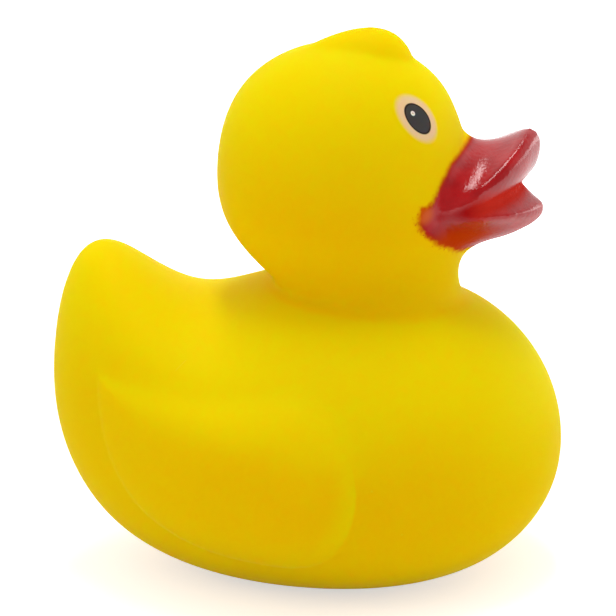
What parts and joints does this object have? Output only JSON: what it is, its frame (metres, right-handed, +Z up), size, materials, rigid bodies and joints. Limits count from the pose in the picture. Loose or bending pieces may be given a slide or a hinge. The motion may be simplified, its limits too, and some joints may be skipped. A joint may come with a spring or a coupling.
{
  "type": "duck figurine",
  "caption": "Moulded bath-toy duck with a round head, forelock tuft, open upturned beak, low-relief wings and raised tail, resting on a small flat base.",
  "frame": {"origin": "centre of the bounding box's bottom face, on the surface that the duck rests on", "axes": "+X towards the beak and chest, +Y towards the duck's left side, +Z up"},
  "size_m": [0.0804, 0.0734, 0.0866],
  "materials": {
    "vinyl": "satin soft vinyl, with the beak and eyes in sprayed and printed paint"
  },
  "bodies": {
    "root": {"duck": "vinyl"}
  },
  "joints": []
}
